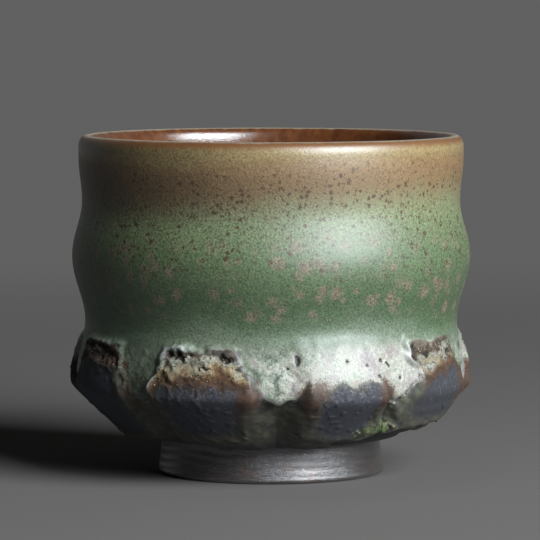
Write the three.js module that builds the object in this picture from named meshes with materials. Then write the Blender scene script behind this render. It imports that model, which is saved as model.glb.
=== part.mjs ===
// A hand-thrown stoneware tea cup on a turned foot ring.
// The thrown wall waves in and out: a neck under the lip, a full belly, a waist, then a belt.
// Nine clay facets are luted round the belt. Thick glaze runs down between them in tongues,
// and a thin glaze coats the outside above the belt and the whole inside.
// Millimetres, +Z up, origin at the centre of the foot's resting face, -Y to the front.
import * as THREE from "three";

// Heights stack up from the table, each measured from the level below it.
const footHeight = 7.7;
const ridgeRise = 11.3;
const beltRise = 9;
const waistRise = 2.1;
const bellyRise = 13.2;
const neckRise = 10.9;
const mouthRise = 8.8;
const lipRise = 4.2;

// Outside radii of the glazed wall at those levels, and of the bare clay at the belt's ridge.
const waistRadius = 37;
const bellyRadius = 39.6;
const neckRadius = 37.6;
const mouthRadius = 38.3;
const ridgeRadius = 37.3;

// Walls, glaze layers and joints.
const lipThickness = 3.6;
const neckWall = 3.9;
const bellyWall = 4.4;
const waistWall = 4.2;
const floorThickness = 5.6;
const floorRadius = 9;
const outerGlaze = 0.7;
const innerGlaze = 0.5;
const glazeEdge = 0.15;
const glazeFeather = 3.5;
const slipJoint = 0.3;

// Foot ring.
const footRadius = 22.3;
const footTaper = 0.4;
const footWall = 4.8;
const footEdge = 0.7;
const heelShelf = 3.2;

// Facets round the belt, with thicknesses measured square to the clay below.
const facetCount = 9;
const facetTurn = -20;
const facetBrow = 1.5;
const facetRidge = 2.7;
const facetToe = 2.3;
const facetCrown = 0.45;
const facetTopShare = 0.56;
const facetBaseShare = 0.73;
const toeGap = 4;

// Glaze tongues between the facets.
const tongueSwell = 1.6;
const tongueTip = 0.6;
const tongueDrop = 11;
const tongueTipShare = 0.3;

// How far hand work strays: along the belt in degrees, and in height and thickness.
const strayTurn = 1.8;
const strayHeight = 0.45;
const strayThickness = 0.2;

// Facet counts of the meshes.
const turnSteps = 45;
const stepHeight = 3.4;
const facetColumns = 7;
const facetRows = 10;
const tongueColumns = 5;
const tongueRows = 7;

const ridgeLevel = footHeight + ridgeRise;
const beltLevel = ridgeLevel + beltRise;
const waistLevel = beltLevel + waistRise;
const bellyLevel = waistLevel + bellyRise;
const neckLevel = bellyLevel + neckRise;
const mouthLevel = neckLevel + mouthRise;
const lipLevel = mouthLevel + lipRise;
const lipRadius = lipThickness / 2;
const lipShoulder = lipLevel - lipRadius;
const floorLevel = footHeight + floorThickness;
const pitch = 360 / facetCount;

const mix = (from, to, t) => from + (to - from) * t;
const wave = (from, to, t) => mix(from, to, (1 - Math.cos(Math.PI * t)) / 2);
const clamp = (value) => Math.min(1, Math.max(0, value));

// Evenly spaced parameters from 0 to 1, close enough for a run of the given length.
function steps(length) {
  const count = Math.max(1, Math.round(length / stepHeight));
  return Array.from({ length: count + 1 }, (_, i) => i / count);
}

// A wavy run of profile points through [level, radius] pairs, each pair a crest or a hollow.
function wavyProfile(pairs) {
  const points = [new THREE.Vector2(pairs[0][1], pairs[0][0])];
  for (let i = 1; i < pairs.length; i += 1) {
    const [lowLevel, lowRadius] = pairs[i - 1];
    const [highLevel, highRadius] = pairs[i];
    for (const t of steps(Math.abs(highLevel - lowLevel)).slice(1)) {
      points.push(new THREE.Vector2(wave(lowRadius, highRadius, t), mix(lowLevel, highLevel, t)));
    }
  }
  return points;
}

// Unit normals of a profile, to the right of its direction: outward where it climbs.
function profileNormals(points) {
  return points.map((point, i) => {
    const before = points[Math.max(0, i - 1)];
    const after = points[Math.min(points.length - 1, i + 1)];
    const along = after.clone().sub(before).normalize();
    return new THREE.Vector2(along.y, -along.x);
  });
}

function offsetProfile(points, distance) {
  const normals = profileNormals(points);
  return points.map((point, i) => point.clone().addScaledVector(normals[i], distance(point, i)));
}

// A coat of glaze is full below its feathered top edge.
function coatThickness(full, level) {
  const rise = clamp((lipShoulder - level) / glazeFeather);
  return mix(glazeEdge, full, rise * rise * (3 - 2 * rise));
}

// Outside of the glaze coat, from the top of the belt to the shoulder of the lip.
const outerSkin = wavyProfile([
  [beltLevel, mix(waistRadius, ridgeRadius + outerGlaze, waistRise / (waistRise + beltRise))],
  [waistLevel, waistRadius],
  [bellyLevel, bellyRadius],
  [neckLevel, neckRadius],
  [mouthLevel, mouthRadius],
  [lipShoulder, mouthRadius],
]);
const wallAbove = outerSkin.map(
  (point) => new THREE.Vector2(point.x - coatThickness(outerGlaze, point.y), point.y),
);

// Inside of the liner glaze, from the shoulder of the lip down and in to the floor.
const innerWall = wavyProfile([
  [lipShoulder, mouthRadius - lipThickness],
  [neckLevel, neckRadius - neckWall],
  [bellyLevel, bellyRadius - bellyWall],
  [waistLevel, waistRadius - waistWall],
]);
const bowl = new THREE.EllipseCurve(
  floorRadius,
  waistLevel,
  waistRadius - waistWall - floorRadius,
  waistLevel - floorLevel,
  0,
  -Math.PI / 2,
  true,
);
const innerSkin = [...innerWall, ...bowl.getPoints(7).slice(1)];
const wallInside = offsetProfile(innerSkin, (point) => -coatThickness(innerGlaze, point.y)).map(
  (point, i) => new THREE.Vector2(point.x, i === 0 ? lipShoulder : point.y),
);

// Bare clay below the coat: down the belt to its ridge, then a straight cut in to the underside.
const beltDrop = wavyProfile([
  [beltLevel, wallAbove[0].x],
  [ridgeLevel, ridgeRadius],
]);
const ridgePoint = new THREE.Vector2(ridgeRadius, ridgeLevel);
const heelPoint = new THREE.Vector2(footRadius + heelShelf, footHeight);
const underCut = steps(ridgePoint.distanceTo(heelPoint)).slice(1);
const wallBelow = [...beltDrop, ...underCut.map((t) => ridgePoint.clone().lerp(heelPoint, t))];

// A lathed solid from a profile in radius and height, turned to stand on +Z.
function lathe(points) {
  return new THREE.LatheGeometry(points, turnSteps).rotateX(Math.PI / 2);
}

function closedLathe(points) {
  return lathe([...points, points[0].clone()]);
}

function lipRound() {
  const centre = mouthRadius - lipRadius;
  return new THREE.EllipseCurve(centre, lipShoulder, lipRadius, lipRadius, 0, Math.PI).getPoints(6);
}

// The thrown clay: underside, outer wall, half-round lip, inner wall and floor.
function makeWall() {
  return lathe([
    new THREE.Vector2(0, footHeight),
    ...wallBelow.slice().reverse(),
    ...wallAbove.slice(1),
    ...lipRound(),
    ...wallInside,
    new THREE.Vector2(0, wallInside.at(-1).y),
  ]);
}

function makeOuterCoat() {
  return closedLathe([...outerSkin, ...wallAbove.slice().reverse()]);
}

function makeLiner() {
  const underFloor = new THREE.Vector2(0, wallInside.at(-1).y);
  const floor = new THREE.Vector2(0, innerSkin.at(-1).y);
  return lathe([underFloor, ...wallInside.slice().reverse(), ...innerSkin, floor]);
}

// The foot stands on a flat face between two rounded edges, and leans in a little as it rises.
function makeFoot() {
  const insideRadius = footRadius - footWall;
  const edge = Math.min(footEdge, footWall / 3, footHeight / 3);
  const heel = new THREE.EllipseCurve(footRadius - edge, edge, edge, edge, -Math.PI / 2, 0);
  const inner = new THREE.EllipseCurve(insideRadius + edge, edge, edge, edge, Math.PI, Math.PI * 1.5);
  return closedLathe([
    ...heel.getPoints(3),
    new THREE.Vector2(footRadius - footTaper, footHeight),
    new THREE.Vector2(insideRadius + footTaper, footHeight),
    ...inner.getPoints(3),
  ]);
}

// A curved slab between two grids of points, rows down its length and columns across it.
function slab(front, back) {
  const rows = front.length;
  const columns = front[0].length;
  const positions = [...front, ...back].flat().flatMap((point) => point.toArray());
  const at = (side, row, column) => side * rows * columns + row * columns + column;
  const triangles = [];
  const quad = (a, b, c, d) => triangles.push(a, b, c, a, c, d);
  for (let row = 0; row + 1 < rows; row += 1) {
    for (let column = 0; column + 1 < columns; column += 1) {
      quad(at(0, row, column), at(0, row + 1, column), at(0, row + 1, column + 1), at(0, row, column + 1));
      quad(at(1, row, column), at(1, row, column + 1), at(1, row + 1, column + 1), at(1, row + 1, column));
    }
    const last = columns - 1;
    quad(at(0, row, 0), at(1, row, 0), at(1, row + 1, 0), at(0, row + 1, 0));
    quad(at(0, row, last), at(0, row + 1, last), at(1, row + 1, last), at(1, row, last));
  }
  for (let column = 0; column + 1 < columns; column += 1) {
    const last = rows - 1;
    quad(at(0, 0, column), at(0, 0, column + 1), at(1, 0, column + 1), at(1, 0, column));
    quad(at(0, last, column), at(1, last, column), at(1, last, column + 1), at(0, last, column + 1));
  }
  const geometry = new THREE.BufferGeometry();
  geometry.setAttribute("position", new THREE.Float32BufferAttribute(positions, 3));
  geometry.setIndex(triangles);
  return geometry;
}

// Distances along the bare clay below the coat, to place rows by how far they lie down it.
const beltNormals = profileNormals(wallBelow).map((normal) => normal.negate());
const beltLengths = wallBelow.reduce((sums, point, i) => {
  sums.push(i === 0 ? 0 : sums[i - 1] + point.distanceTo(wallBelow[i - 1]));
  return sums;
}, []);

function onBelt(distance) {
  const next = Math.max(1, beltLengths.findIndex((length) => length >= distance));
  const share = (distance - beltLengths[next - 1]) / (beltLengths[next] - beltLengths[next - 1]);
  return {
    point: wallBelow[next - 1].clone().lerp(wallBelow[next], share),
    normal: beltNormals[next - 1].clone().lerp(beltNormals[next], share).normalize(),
  };
}

function around(degrees, profilePoint) {
  const angle = THREE.MathUtils.degToRad(degrees);
  const across = profilePoint.x * Math.sin(angle);
  const forward = -profilePoint.x * Math.cos(angle);
  return new THREE.Vector3(across, forward, profilePoint.y);
}

// A slab lying on the belt: its sides and thickness are functions of the distance down the clay.
function beltSlab(rowDistances, columns, sides, thickness) {
  const front = [];
  const back = [];
  for (const distance of rowDistances) {
    const { point, normal } = onBelt(distance);
    const bed = point.clone().addScaledVector(normal, slipJoint);
    const [left, right] = sides(distance, point.x);
    const across = Array.from({ length: columns }, (_, i) => i / (columns - 1));
    const raised = (t) => bed.clone().addScaledVector(normal, thickness(distance, 2 * t - 1));
    back.push(across.map((t) => around(mix(left, right, t), bed)));
    front.push(across.map((t) => around(mix(left, right, t), raised(t))));
  }
  return slab(front, back);
}

// Steady hand-made unevenness, different for each facet and each trait of it.
const stray = (index, trait) => Math.sin(index * 2.4 + trait * 1.7);

const ridgeDistance = beltLengths[beltDrop.length - 1];
const toeDistance = beltLengths.at(-1) - toeGap;
const facetCentre = (index) => facetTurn + index * pitch - strayTurn * stray(index, 1);
const facetTop = (index) => slipJoint + strayHeight * (1 + stray(index, 2));

// Row distances from top to bottom down the belt, with one row on the ridge if they pass it.
function beltRows(top, bottom, count) {
  const spread = (from, to, gaps) => Array.from({ length: gaps }, (_, i) => mix(from, to, i / gaps));
  const gaps = count - 1;
  if (bottom <= ridgeDistance) {
    return [...spread(top, bottom, gaps), bottom];
  }
  const share = (ridgeDistance - top) / (bottom - top);
  const above = Math.min(gaps - 1, Math.max(1, Math.round(gaps * share)));
  return [...spread(top, ridgeDistance, above), ...spread(ridgeDistance, bottom, gaps - above), bottom];
}

// Half the facet's angle: narrow at the brow, wide from the ridge down.
function facetHalf(index, distance) {
  const widen = clamp((distance - facetTop(index)) / (ridgeDistance - facetTop(index)));
  return (pitch / 2) * wave(facetTopShare, facetBaseShare, widen);
}

function makeFacet(index) {
  const top = facetTop(index);
  const thicken = 1 + strayThickness * stray(index, 3) * 0.5;
  const rows = beltRows(top, toeDistance, facetRows);
  const sides = (distance) => {
    const half = facetHalf(index, distance);
    return [facetCentre(index) - half, facetCentre(index) + half];
  };
  const thickness = (distance, across) => {
    const rising = clamp((distance - top) / (ridgeDistance - top));
    const falling = clamp((distance - ridgeDistance) / (toeDistance - ridgeDistance));
    const along = distance < ridgeDistance
      ? mix(facetBrow, facetRidge, rising)
      : mix(facetRidge, facetToe, falling);
    return along * thicken - facetCrown * across * across;
  };
  return beltSlab(rows, facetColumns, sides, thickness);
}

// A tongue hangs between one facet and the next, a joint's width clear of both.
function makeTongue(index) {
  const next = index + 1;
  const after = next % facetCount;
  const lap = next === after ? 0 : 360;
  const drop = Math.min(tongueDrop, toeDistance) * (1 + strayThickness * stray(index, 4));
  const rows = beltRows(slipJoint, drop, tongueRows);
  const fallen = (distance) => (distance - slipJoint) / (drop - slipJoint);
  const sides = (distance, radius) => {
    const clear = THREE.MathUtils.radToDeg(slipJoint / radius);
    const left = facetCentre(index) + facetHalf(index, distance) + clear;
    const right = facetCentre(after) + lap - facetHalf(after, distance) - clear;
    const narrow = (1 - wave(1, tongueTipShare, fallen(distance))) / 2;
    return [mix(left, right, narrow), mix(right, left, narrow)];
  };
  const thickness = (distance, across) => {
    const down = fallen(distance);
    const swell = down < 0.6
      ? wave(outerGlaze, tongueSwell, down / 0.6)
      : wave(tongueSwell, tongueTip, (down - 0.6) / 0.4);
    return swell * (1 - 0.25 * across * across) - slipJoint;
  };
  return beltSlab(rows, tongueColumns, sides, thickness);
}

const bareClay = new THREE.MeshStandardMaterial({ color: 0x3a2c25, roughness: 0.75, metalness: 0 });
const footClay = new THREE.MeshStandardMaterial({ color: 0x3d322d, roughness: 0.5, metalness: 0 });
const greenGlaze = new THREE.MeshStandardMaterial({ color: 0x5f7d5a, roughness: 0.4, metalness: 0 });
const rustGlaze = new THREE.MeshStandardMaterial({ color: 0x7a3d1c, roughness: 0.25, metalness: 0 });
const ironGlaze = new THREE.MeshStandardMaterial({ color: 0x2b2c33, roughness: 0.4, metalness: 0.2 });
const paleGlaze = new THREE.MeshStandardMaterial({ color: 0xc9d2c0, roughness: 0.45, metalness: 0 });

const cup = new THREE.Group();

function addPiece(name, geometry, material) {
  const mesh = new THREE.Mesh(geometry, material);
  mesh.name = name;
  cup.add(mesh);
}

addPiece("thrown_wall", makeWall(), bareClay);
addPiece("foot_ring", makeFoot(), footClay);
addPiece("outer_glaze_coat", makeOuterCoat(), greenGlaze);
addPiece("inner_glaze_liner", makeLiner(), rustGlaze);
for (let index = 0; index < facetCount; index += 1) {
  addPiece(`belt_facet_${index + 1}`, makeFacet(index), ironGlaze);
  addPiece(`glaze_tongue_${index + 1}`, makeTongue(index), paleGlaze);
}

export default cup;
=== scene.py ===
import math
import bpy
import numpy as np
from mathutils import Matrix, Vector


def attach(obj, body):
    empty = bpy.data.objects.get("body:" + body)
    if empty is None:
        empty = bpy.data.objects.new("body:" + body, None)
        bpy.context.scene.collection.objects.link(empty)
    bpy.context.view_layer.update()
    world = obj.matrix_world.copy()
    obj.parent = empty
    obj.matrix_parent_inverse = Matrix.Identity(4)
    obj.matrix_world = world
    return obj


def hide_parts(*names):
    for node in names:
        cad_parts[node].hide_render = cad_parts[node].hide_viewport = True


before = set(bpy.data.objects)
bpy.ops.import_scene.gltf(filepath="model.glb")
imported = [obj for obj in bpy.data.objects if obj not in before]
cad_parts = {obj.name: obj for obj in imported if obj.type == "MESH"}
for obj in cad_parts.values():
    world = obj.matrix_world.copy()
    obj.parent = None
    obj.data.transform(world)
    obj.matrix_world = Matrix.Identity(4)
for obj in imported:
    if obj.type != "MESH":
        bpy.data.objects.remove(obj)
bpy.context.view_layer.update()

# sizes in millimetres, angles in degrees from the front (-Y) towards the right (+X)
cupShape = dict(
    footHeight=7.7, ridge=19.0, belt=28.0, waist=30.1, belly=43.3, neck=54.2, mouth=63.0, lip=67.2,
    ridgeRadius=37.3, waistRadius=37.0, bellyRadius=39.6, neckRadius=37.6, mouthRadius=38.3,
    heelRadius=25.5, shelfEnd=20.8,                        # ends of the underside and of the foot's shelf
    waistWall=4.2, bellyWall=4.4, neckWall=3.9, floorLevel=13.3, floorRadius=9.0,
    lipThickness=3.6, lipSquare=0.72, lipSlump=(2.5, 1.0),  # lowers the inner and the outer shoulder
    glaze=0.7, beltFlare=0.19)                             # how far the belt's top leans to the ridge

# lists run by facet, from the one left of the front centre round to the right
beltCut = dict(
    count=9, turn=-20.0, strayTurn=1.8,
    brow=1.6, ridge=2.75, crown=0.4, tongueDrop=11.0, tongueSwell=1.55, film=0.35,
    topAt={2: -0.5},                                       # a facet that starts higher than the rest
    dropAt={0: 10.9, 1: 11.6, 8: 11.3},                    # the three tongues seen from the front
    topShare=[0.56, 0.63, 0.56, 0.52, 0.58, 0.6, 0.55, 0.58, 0.56],   # width at the top, of the pitch
    share=[0.74, 0.6, 0.77, 0.66, 0.74, 0.62, 0.7, 0.64, 0.73],       # and at the ridge
    lean=[(0.8, 0), (-0.8, 1.8), (-4.5, -1.25), (1, -1.5), (-1, 1), (0, 2), (1.5, -1), (-1, 1.5),
          (0, 0)],                                         # drift at the top and below
    toe=[21.4, 20.6, 16.2, 21.2, 20.2, 21.6, 19.0, 20.8, 21.6],       # how far down it ends
    toeThick=[2.4, 2.4, 4.2, 2.7, 2.4, 2.6, 2.4, 2.7, 3.0],           # how proud that end stands
    toeSoft=[(1, 1.7), (1.7, 0.95), (0.95, 0.35), (0.8, 0.8), (1, 1), (0.9, 0.9), (0.7, 0.9), (1, 1),
             (0.9, 0.9)],                                  # how far its left and right melt in below
    fill=[0.12, 0.95, 0.3, 0.62, 0.15, 0.85, 0.3, 0.55, 0.12],        # how far pale glaze closed over it
    edge=[7.3, 7.2, 6.0, 6.8, 5.6, 7.4, 6.3, 7.0, 4.8],    # where crust gives way to the smooth iron face
    tilt=[-0.2, 0.0, -2.2, 0.8, -0.6, 0.4, 1.2, -0.8, 0.0],           # how far that line slants
    arch=[0.3, 1.4, 0.0, 0.5, 0.0, 1.0, 0.3, 0.6, 0.0],    # and how far it sinks at the sides
    rust=[(0.65, -0.6, 0.35), (0.05, 0.8, 0.9), (0.75, -0.6, 0.25), (0.3, 0.6, 0.3), (0.7, 0.2, -0.2),
          (0.1, 0.8, 0.8), (0.6, -0.2, 0.4), (0.3, 0.6, 0.1),
          (0.15, -0.1, 0.2)],                              # at the middle, and what left and right add
    frost=[0.3, 0.55, 0.06, 0.7, 0.3, 0.85, 0.4, 0.6, 0.1],           # grey crystals at the iron's edge
    rim=[(1.3, 0.0, 9), (0.2, 0.3, 6), (1.1, 0.3, 4.2), (1, 0.6, 6), (0.6, 1, 7), (0.5, 0.5, 5),
         (1.2, 0.4, 8), (0.5, 1, 6), (0.4, 0.8, 7)],       # white lip left and right, and its lower end
    borderDark=[(0.3, 1.0), (0.0, 0.0), (0.0, 0.9), (0.3, 0.6), (0.8, 0.3), (0.3, 0.2), (0.2, 0.9), (0.5, 0.3),
            (0.7, 0.6)],                                   # dark line along the left and right border
    burn=[0.12, 0.2, 0.36, 0.3, 0.5, 0.0, 0.4, 0.2, 1.3],  # how dark the bare crust burned
    whiteness=[0.0, 0.09, 0.0, 0.06, -0.05, 0.1, -0.02, 0.05, -0.2],
    tongueWhite=[0.03, 0.13, 0.0, 0.03, -0.04, 0.05, 0.0, -0.03, -0.2],
    # where a tongue laps over a facet: facet, side, down, half length, depth
    bites=[(0, 1, 7.6, 2.4, -1.3), (2, -1, 6.4, 2.6, 3.6), (5, -1, 5.0, 3.0, 2.0), (7, 1, 5.5, 3.0, 2.4)],
    # beads of glass that ran together: valley, across, down, radius, height
    beads=[(1, 0.9, 17.6, 2.8, 2.0), (1, -3.4, 18.3, 2.4, 0.7), (1, -1.6, 16.4, 1.5, 0.5),
           (3, 1.0, 18.8, 1.9, 0.8), (5, -1.2, 19.8, 2.4, 0.9), (7, 0.6, 18.4, 1.6, 0.7)],
    # round the cup: turn, and how far down the green stays
    greenDip=[(-180, 0.6), (-130, -0.8), (-95, 1.2), (-60, 1.6), (-33, 1.2), (-21, -1.2), (-15, -1.0),
              (-8, 1.4), (14, 1.2), (27, -0.9), (40, 0.5), (62, 2.6), (100, 0.4), (140, -0.6)],
    # turn, and how much paler the coat is painted there, below nought darker: painted light on the right,
    # which faces the lamp, and painted shade on the left
    paintedSideLight=[(-180, 0.0), (-100, -0.15), (-50, -0.32), (-22, -0.28), (-4, -0.05), (25, 0.2), (60, 0.25),
           (105, 0.08)],
    # burst blisters, then pinholes: turn, level, half width, half height, depth
    blisters=[(-27.8, 26.0, 1.3, 0.6, 0.9), (-12.6, 25.7, 1.3, 0.7, 0.9), (-19.0, 23.8, 1.2, 0.4, 0.5),
              (-56.5, 25.4, 2.6, 1.0, 0.8), (7.6, 25.5, 0.45, 1.2, 0.35), (50.5, 25.6, 0.9, 0.5, 0.4),
              (63.5, 25.0, 1.1, 0.8, 0.5), (96.0, 25.8, 1.8, 0.6, 0.8), (104.0, 24.6, 1.2, 0.5, 0.6),
              (135.0, 25.9, 2.0, 0.6, 0.9), (144.5, 25.2, 1.3, 0.7, 0.8), (171.5, 25.3, 0.5, 1.5, 0.9),
              (215.0, 25.8, 1.9, 0.6, 0.9), (224.0, 24.9, 1.2, 0.6, 0.7), (255.0, 25.7, 1.6, 0.6, 0.8)],
    pinholes=[(22.0, 25.1, 0.28, 0.28, 0.45), (28.0, 24.3, 0.24, 0.24, 0.4), (33.2, 25.1, 0.34, 0.34, 0.5),
              (35.6, 24.4, 0.3, 0.26, 0.45), (36.2, 23.9, 0.26, 0.34, 0.45), (31.9, 22.0, 0.34, 0.34, 0.5),
              (40.3, 21.5, 0.38, 0.38, 0.5), (4.5, 24.1, 0.3, 0.3, 0.45), (41.6, 14.1, 0.3, 0.3, 0.4),
              (8.4, 12.3, 0.42, 0.42, 0.5), (112.0, 23.6, 0.3, 0.3, 0.45), (146.0, 22.6, 0.32, 0.32, 0.45),
              (171.0, 22.4, 0.3, 0.3, 0.45), (203.0, 24.9, 0.34, 0.34, 0.5), (262.0, 21.8, 0.36, 0.36, 0.5),
              (301.0, 24.4, 0.3, 0.3, 0.45)])

skinGrid = dict(facetCells=64, valleyCells=32, lipRows=22, coatStep=0.52, beltStep=0.26, beltEnd=12.4,
                cutStep=0.36, cutEnd=23.0, shelfRows=16, seed=11)


def smoothStep(low, high, x):
    t = np.clip((x - low) / (high - low), 0, 1)
    return t * t * (3 - 2 * t)


def softMin(a, b, k):
    h = np.clip(0.5 + 0.5 * (b - a) / k, 0, 1)
    return b + (a - b) * h - k * h * (1 - h)


def waveMix(a, b, t):
    return a + (b - a) * (1 - np.cos(np.pi * t)) / 2


def unit(v):
    return v / np.maximum(np.linalg.norm(v, axis=-1, keepdims=True), 1e-12)


rng = np.random.default_rng(skinGrid["seed"])
shuffle = rng.permutation(512)
slopes = unit(rng.normal(size=(512, 3)))


def lumps(point, size, shift=0.0):                         # soft lumps of about that size, -1 to 1
    p = point / size + shift
    cell = np.floor(p).astype(int)
    f = p - cell
    w = f * f * f * (f * (f * 6 - 15) + 10)
    total = 0.0
    for dx in (0, 1):
        for dy in (0, 1):
            for dz in (0, 1):
                key = shuffle[(cell[..., 0] + dx) & 511]
                key = shuffle[(key + cell[..., 1] + dy) & 511]
                key = shuffle[(key + cell[..., 2] + dz) & 511]
                push = (slopes[key] * (f - np.array((dx, dy, dz)))).sum(-1)
                share = np.abs(1 - dx - w[..., 0]) * np.abs(1 - dy - w[..., 1]) * np.abs(1 - dz - w[..., 2])
                total = total + share * push
    return np.clip(total * 1.7, -1, 1)


def stray(index, trait):
    return math.sin(index * 2.4 + trait * 1.7)


def wavePath(pairs, step):                                 # down a wall that swings between radii
    path = [(pairs[0][1], pairs[0][0])]
    for (highLevel, highRadius), (lowLevel, lowRadius) in zip(pairs, pairs[1:]):
        for t in np.linspace(0, 1, max(3, int((highLevel - lowLevel) / step)))[1:]:
            path.append((waveMix(highRadius, lowRadius, t), highLevel + (lowLevel - highLevel) * t))
    return np.array(path)


# the clay under the glaze, from the inner lip over the crest and down to the foot
def clayProfile():
    c = cupShape
    lipRadius = c["lipThickness"] / 2
    shoulder = c["lip"] - lipRadius
    bead = lipRadius - c["glaze"]
    turn = np.linspace(np.pi, 0, 60)
    across = np.cos(turn)
    across = np.sign(across) * np.abs(across) ** c["lipSquare"]
    rise = np.clip(np.sin(turn), 0, 1) ** c["lipSquare"]
    slump = np.where(turn < np.pi / 2, c["lipSlump"][1], c["lipSlump"][0]) * (1 - rise)
    lip = np.stack([c["mouthRadius"] - lipRadius + bead * across, shoulder + bead * rise - slump], 1)
    beltRadius = c["waistRadius"] + (c["ridgeRadius"] + c["glaze"] - c["waistRadius"]) * c["beltFlare"]
    pairs = [(shoulder - c["lipSlump"][1], c["mouthRadius"]), (c["mouth"], c["mouthRadius"]),
             (c["neck"], c["neckRadius"]), (c["belly"], c["bellyRadius"]), (c["waist"], c["waistRadius"]),
             (c["belt"], beltRadius)]
    coat = wavePath(pairs, 0.05)[1:] - (c["glaze"], 0)
    t = np.linspace(0, 1, 180)[1:]
    drop = np.stack([waveMix(coat[-1, 0], c["ridgeRadius"], t), c["belt"] + (c["ridge"] - c["belt"]) * t], 1)
    heel = np.array((c["heelRadius"], c["footHeight"]))
    cut = drop[-1] + (heel - drop[-1]) * np.linspace(0, 1, 320)[1:, None]
    shelf = heel + ((c["shelfEnd"], c["footHeight"]) - heel) * np.linspace(0, 1, 90)[1:, None]
    parts = [lip, coat, drop, cut, shelf]
    points = np.concatenate(parts)
    length = np.concatenate([[0], np.cumsum(np.linalg.norm(np.diff(points, axis=0), axis=1))])
    ends = np.cumsum([len(part) for part in parts]) - 1
    marks = dict(zip(("lipEnd", "belt", "ridge"), length[ends] - length[ends[1]]))
    even = np.arange(0, length[-1], 0.04)
    radius = np.interp(even, length, points[:, 0])
    level = np.interp(even, length, points[:, 1])
    along = unit(np.stack([np.gradient(radius), np.gradient(level)], 1))
    normal = np.stack([-along[:, 1], along[:, 0]], 1)
    kernel = np.exp(-0.5 * (np.arange(-40, 41) / 16) ** 2)
    kernel /= kernel.sum()                                 # the facing turns gently at ridge and heel
    facing = [np.convolve(np.pad(normal[:, k], 40, mode="edge"), kernel, mode="valid") for k in (0, 1)]
    return even - length[ends[1]], radius, level, unit(np.stack(facing, 1)), marks


downs, radii, levels, outward, marks = clayProfile()
ridgeDown = marks["ridge"]
facets = range(beltCut["count"])
pitch = 360 / beltCut["count"]
centres = [beltCut["turn"] + i * pitch - beltCut["strayTurn"] * stray(i, 1) for i in facets]
tops = [beltCut["topAt"].get(i, 0.3 + 0.45 * (1 + stray(i, 2))) for i in facets]
drops = [beltCut["dropAt"].get(i, beltCut["tongueDrop"] * (1 + 0.2 * stray(i, 4))) for i in facets]


def facetSpan(i, down):                                    # left and right border of a facet at a row
    widen = np.clip((down - tops[i]) / (ridgeDown + 2 - tops[i]), 0, 1)
    half = pitch / 2 * waveMix(beltCut["topShare"][i], beltCut["share"][i], widen)
    centre = centres[i] + waveMix(*beltCut["lean"][i], widen)
    return centre - half, centre + half


def valleySpan(i, down):                                   # and of the valley to its right
    after = (i + 1) % beltCut["count"]
    return facetSpan(i, down)[1], facetSpan(after, down)[0] + (0 if after else 360)


# rows run down the outside, columns run round it: a facet's cells, then the valley's beside it
rowDowns = np.concatenate([
    np.linspace(downs[0], marks["lipEnd"], skinGrid["lipRows"] + 1)[:-1],
    np.linspace(marks["lipEnd"], 0, int(-marks["lipEnd"] / skinGrid["coatStep"]) + 1)[:-1],
    np.arange(0, skinGrid["beltEnd"], skinGrid["beltStep"]),
    np.arange(skinGrid["beltEnd"], skinGrid["cutEnd"], skinGrid["cutStep"]),
    np.linspace(skinGrid["cutEnd"], downs[-1], skinGrid["shelfRows"])])
lipRow = skinGrid["lipRows"]
beltRow = int(np.argmin(np.abs(rowDowns)))
toeRow = int(np.argmin(np.abs(rowDowns - (max(beltCut["toe"]) + 1.0))))
tongueRows = [int(np.argmin(np.abs(rowDowns - drop))) for drop in drops]
span = skinGrid["facetCells"] + skinGrid["valleyCells"]
columns = span * beltCut["count"]


def columnTurns(down):
    turns = []
    for i in facets:
        turns.append(np.linspace(*facetSpan(i, down), skinGrid["facetCells"] + 1)[:-1])
        turns.append(np.linspace(*valleySpan(i, down), skinGrid["valleyCells"] + 1)[:-1])
    return np.concatenate(turns)


turns = np.stack([columnTurns(row) for row in rowDowns])
down = np.repeat(rowDowns[:, None], columns, 1)
sine, cosine = np.sin(np.radians(turns)), np.cos(np.radians(turns))


def swing(radius, level):                                  # a profile's values, swung round the axis
    radius, level = np.interp(down, downs, radius), np.interp(down, downs, level)
    return np.stack([radius * sine, -radius * cosine, level], -1)


clay, away = swing(radii, levels), swing(outward[:, 0], outward[:, 1])
arc = np.pi / 180 * np.interp(down, downs, radii)          # millimetres to a degree
wander = dict(huge=lumps(clay, 4.4, 1.3), broad=lumps(clay, 2.7), mid=lumps(clay, 1.25, 3.1),
              fine=lumps(clay, 0.75, 7.7))
print("skin grid:", turns.shape)


def turnFrom(turn):
    return (turns - turn + 180) % 360 - 180


def roundCup(pairs):                                       # values given at some turns, spread round the cup
    return np.interp(turnFrom(0), *zip(*pairs), period=360)


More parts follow.
